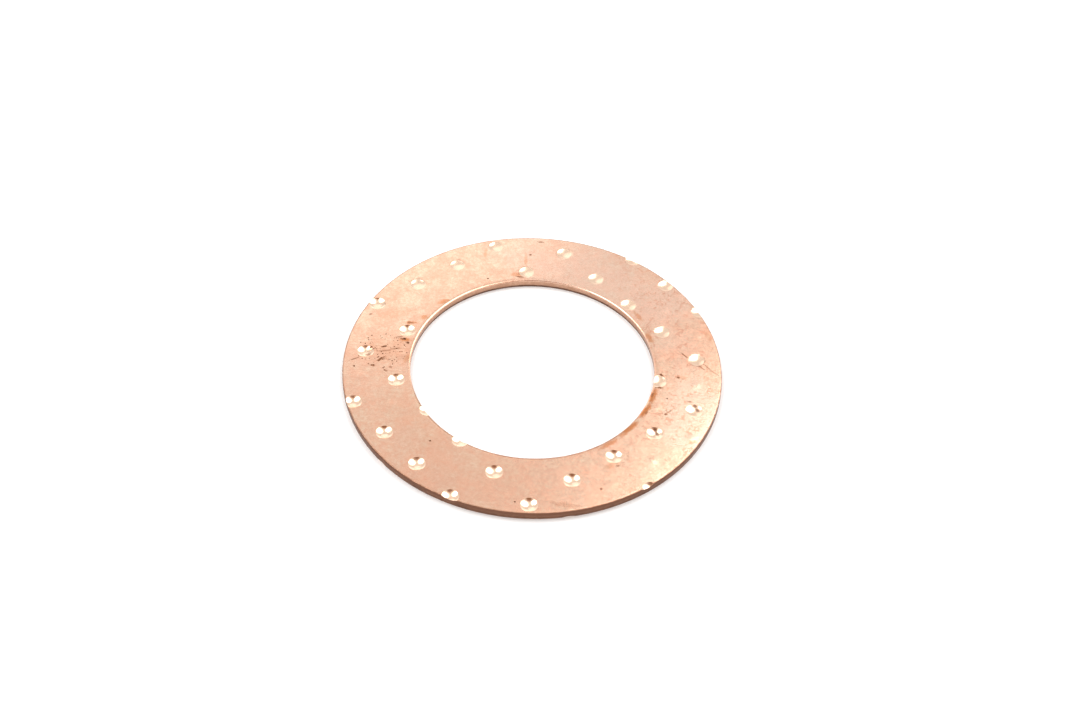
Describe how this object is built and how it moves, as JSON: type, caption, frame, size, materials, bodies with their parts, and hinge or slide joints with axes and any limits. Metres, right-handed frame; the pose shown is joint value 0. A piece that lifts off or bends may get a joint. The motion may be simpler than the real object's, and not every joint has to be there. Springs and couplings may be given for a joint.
{
  "type": "thrust washer",
  "caption": "Flat bronze thrust washer with round-bottomed lubricant pockets pressed in staggered rows into both faces.",
  "frame": {"origin": "centre of the bore on the underside", "axes": "+Z along the bore axis, up through the washer; +X along the rows of lubricant pockets"},
  "size_m": [0.066, 0.066, 0.0015],
  "materials": {
    "bronze": "rolled copper-coloured bronze strip, satin faces, bright pressed pockets, darker sheared edges"
  },
  "bodies": {
    "root": {"thrust_washer": "bronze"}
  },
  "joints": []
}
